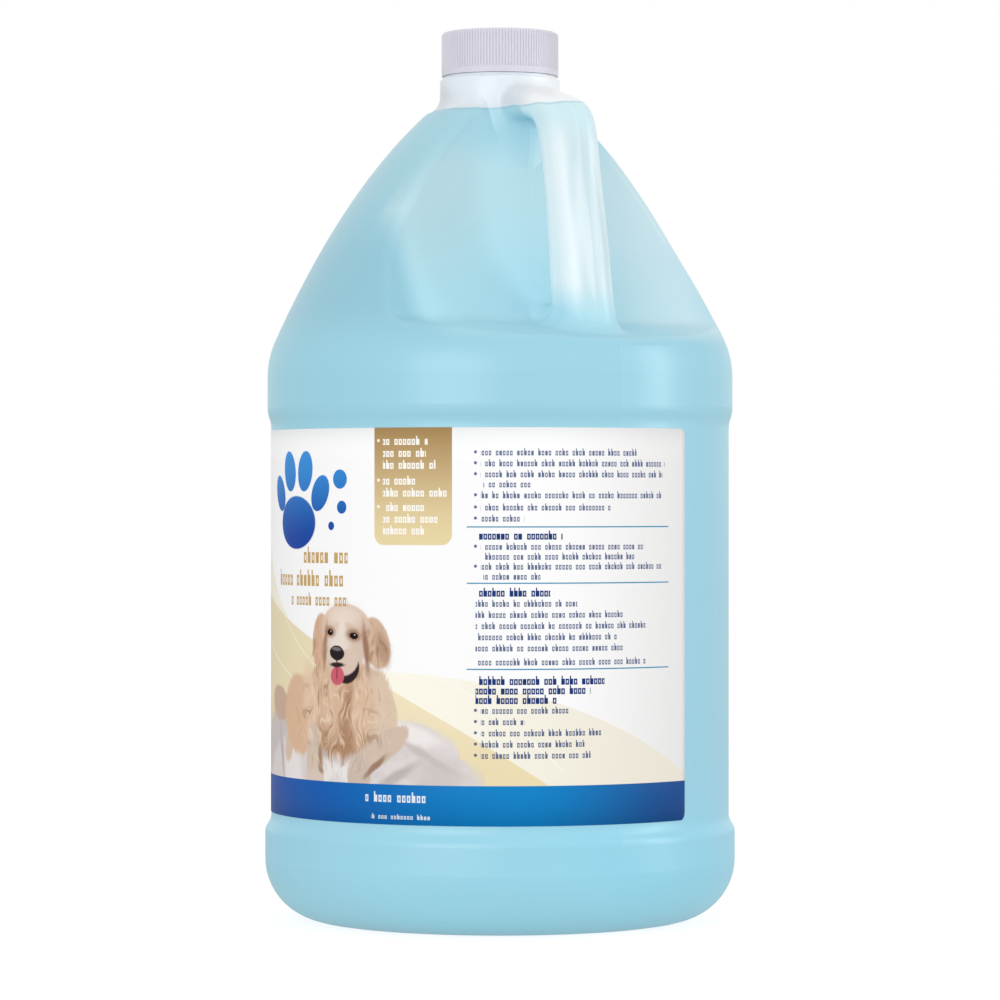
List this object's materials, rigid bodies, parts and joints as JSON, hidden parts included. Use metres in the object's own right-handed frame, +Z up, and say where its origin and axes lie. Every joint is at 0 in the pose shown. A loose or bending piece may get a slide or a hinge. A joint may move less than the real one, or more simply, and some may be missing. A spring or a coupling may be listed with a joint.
{
  "type": "shampoo bottle",
  "caption": "Round plastic jug of blue pet shampoo with a hollow side handle, a ribbed screw cap that winds off its threaded neck, and a wraparound label.",
  "frame": {"origin": "middle of the base, on the surface that the jug stands on", "axes": "+Z up the neck axis; +X towards the handle; -Y towards the front of the label, so the handle is on the right seen from the front"},
  "size_m": [0.1562, 0.1562, 0.2948],
  "materials": {
    "bottle_wall": "satin translucent polyethylene, blue where the shampoo is behind it",
    "cap_plastic": "satin moulded plastic",
    "liner_foam": "matt foamed sheet",
    "label_film": "printed glossy film",
    "shampoo_liquid": "clear blue liquid"
  },
  "bodies": {
    "jug": {"bottle": "bottle_wall", "label": "label_film", "shampoo": "shampoo_liquid"},
    "liner": {"cap_liner": "liner_foam"},
    "cap": {"cap": "cap_plastic"}
  },
  "joints": [
    {"name": "cap_lift", "type": "slide", "parent": "jug", "child": "liner", "axis": [0, 0, 1], "range_m": [0, 0.01693]},
    {"name": "cap_turn", "type": "hinge", "parent": "liner", "child": "cap", "pos_m": [0, 0, 0.2934], "axis": [0, 0, 1], "range_deg": [0, 1440]}
  ],
  "couplings": [
    {"joint": "cap_lift", "follows": "cap_turn", "m_per_rad": 0.00067376}
  ]
}
